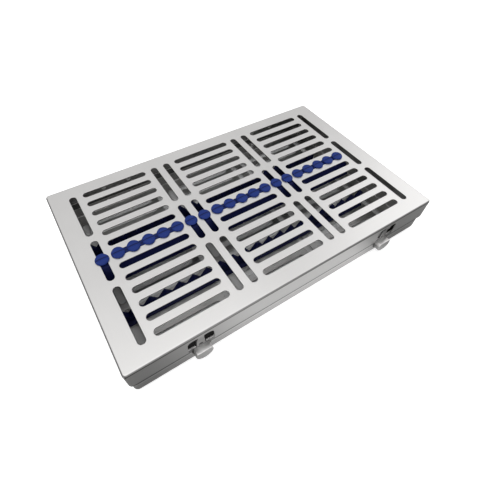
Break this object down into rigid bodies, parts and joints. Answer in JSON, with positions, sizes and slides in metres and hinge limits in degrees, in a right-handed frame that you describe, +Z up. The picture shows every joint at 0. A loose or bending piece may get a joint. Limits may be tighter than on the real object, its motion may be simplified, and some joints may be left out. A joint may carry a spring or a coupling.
{
  "type": "dental instrument cassette",
  "caption": "Flat hinged steel cassette with a slotted lid and tray, toothed blue silicone rails that hold instruments across it, and push-button latches in the front wall.",
  "frame": {"origin": "middle of the plane that the tray rails' heads stand on", "axes": "+X along the cassette, +Y towards the hinges, +Z up through the lid"},
  "size_m": [0.288, 0.1884, 0.0404],
  "materials": {
    "satin_steel": "satin",
    "bright_steel": "polished",
    "spring_steel": "rolled",
    "blue_silicone": "matt silicone"
  },
  "bodies": {
    "tray": {"tray": "satin_steel", "front_tray_rail_left": "blue_silicone", "back_tray_rail_left": "blue_silicone", "front_tray_rail_right": "blue_silicone", "back_tray_rail_right": "blue_silicone", "left_hinge_tray_leaf": "bright_steel", "left_hinge_pin": "bright_steel", "left_hinge_tray_rivet_outer": "bright_steel", "left_hinge_tray_rivet_inner": "bright_steel", "right_hinge_tray_leaf": "bright_steel", "right_hinge_pin": "bright_steel", "right_hinge_tray_rivet_outer": "bright_steel", "right_hinge_tray_rivet_inner": "bright_steel"},
    "lid": {"lid": "satin_steel", "lid_rail_left": "blue_silicone", "lid_rail_right": "blue_silicone", "left_hinge_lid_leaf": "bright_steel", "left_hinge_lid_rivet_outer": "bright_steel", "left_hinge_lid_rivet_inner": "bright_steel", "right_hinge_lid_leaf": "bright_steel", "right_hinge_lid_rivet_outer": "bright_steel", "right_hinge_lid_rivet_inner": "bright_steel"},
    "left_latch": {"left_latch_button": "bright_steel", "left_latch_spring": "spring_steel"},
    "right_latch": {"right_latch_button": "bright_steel", "right_latch_spring": "spring_steel"}
  },
  "joints": [
    {"name": "lid_hinge", "type": "hinge", "parent": "tray", "child": "lid", "pos_m": [0, 0.0922, 0.0178], "axis": [-1, 0, 0], "range_deg": [0, 150]},
    {"name": "left_button_press", "type": "hinge", "parent": "tray", "child": "left_latch", "pos_m": [-0.061, -0.0874, 0.0123], "axis": [0, 0, -1], "range_deg": [0, 3.8], "stiffness_Nm_per_rad": 2.7, "springref_deg": -1.15},
    {"name": "right_button_press", "type": "hinge", "parent": "tray", "child": "right_latch", "pos_m": [0.061, -0.0874, 0.0123], "axis": [0, 0, 1], "range_deg": [0, 3.8], "stiffness_Nm_per_rad": 2.7, "springref_deg": -1.15}
  ]
}
